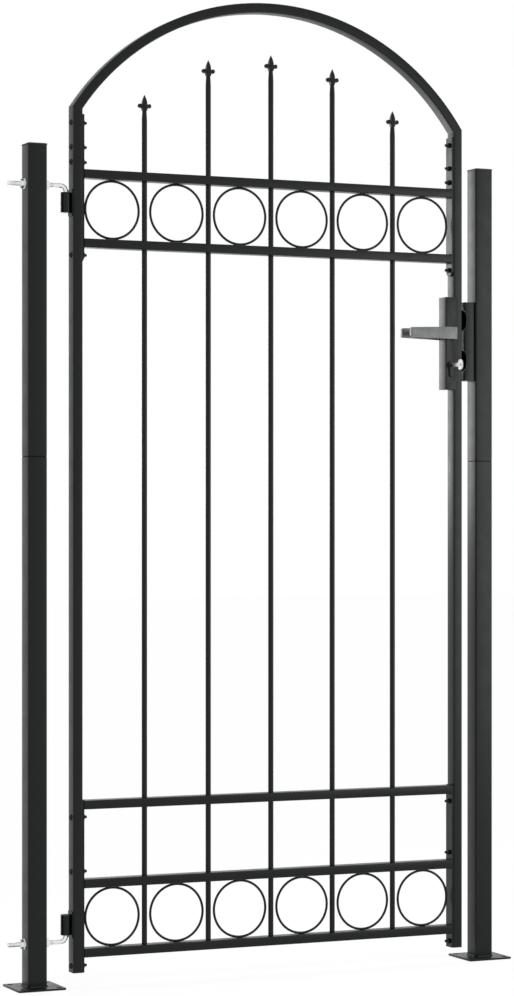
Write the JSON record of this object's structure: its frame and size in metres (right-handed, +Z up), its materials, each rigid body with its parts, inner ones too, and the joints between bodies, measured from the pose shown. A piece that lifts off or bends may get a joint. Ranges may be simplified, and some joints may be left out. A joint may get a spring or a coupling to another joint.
{
  "type": "fence gate",
  "caption": "Arched garden gate leaf with spear-topped bars and rows of rings, hung by hook bolts between square posts on base plates, with a lever lock.",
  "frame": {"origin": "middle of the left base plate's underside", "axes": "+Z up, +X from the left post to the right post, +Y from the gate's front to its back"},
  "size_m": [1.116, 0.116, 1.9999],
  "materials": {
    "black_coat": "satin",
    "cap_plastic": "matte",
    "zinc_plate": "satin",
    "lever_alloy": "satin",
    "cylinder_black": "satin",
    "plug_metal": "satin"
  },
  "bodies": {
    "posts": {"left_post_lower": "black_coat", "left_post_upper": "black_coat", "right_post_lower": "black_coat", "right_post_upper": "black_coat", "left_post_cap": "cap_plastic", "right_post_cap": "cap_plastic", "left_base_plate": "black_coat", "right_base_plate": "black_coat", "upper_hinge_hook": "zinc_plate", "lower_hinge_hook": "zinc_plate", "upper_hinge_nuts": "zinc_plate", "lower_hinge_nuts": "zinc_plate", "strike_box": "black_coat"},
    "leaf": {"left_stile": "black_coat", "right_stile": "black_coat", "arch": "black_coat", "left_upper_strip": "black_coat", "right_upper_strip": "black_coat", "left_lower_strip": "black_coat", "right_lower_strip": "black_coat", "top_rail": "black_coat", "second_rail": "black_coat", "middle_rail": "black_coat", "fourth_rail": "black_coat", "bottom_rail": "black_coat", "bar_1": "black_coat", "bar_2": "black_coat", "bar_3": "black_coat", "bar_4": "black_coat", "bar_5": "black_coat", "spear_heads": "black_coat", "upper_rings": "black_coat", "lower_rings": "black_coat", "upper_hinge_barrel": "black_coat", "lower_hinge_barrel": "black_coat", "lock_case": "black_coat", "stile_plugs": "cap_plastic", "lock_bolts": "zinc_plate", "lock_cylinder": "cylinder_black"},
    "handle": {"front_lever": "lever_alloy", "back_lever": "lever_alloy", "handle_spindle": "zinc_plate"},
    "key": {"key_plug": "plug_metal", "key": "zinc_plate"}
  },
  "joints": [
    {"name": "leaf_swing", "type": "hinge", "parent": "posts", "child": "leaf", "pos_m": [0.0661, 0, 0], "axis": [0, 0, 1], "range_deg": [-90, 90]},
    {"name": "lever_turn", "type": "hinge", "parent": "leaf", "child": "handle", "pos_m": [0.9332, 0, 1.331], "axis": [0, -1, 0], "range_deg": [0, 40], "stiffness_Nm_per_rad": 1, "springref_deg": -22.92},
    {"name": "key_turn", "type": "hinge", "parent": "leaf", "child": "key", "pos_m": [0.9332, 0, 1.2625], "axis": [0, -1, 0], "range_deg": [0, 360]}
  ]
}
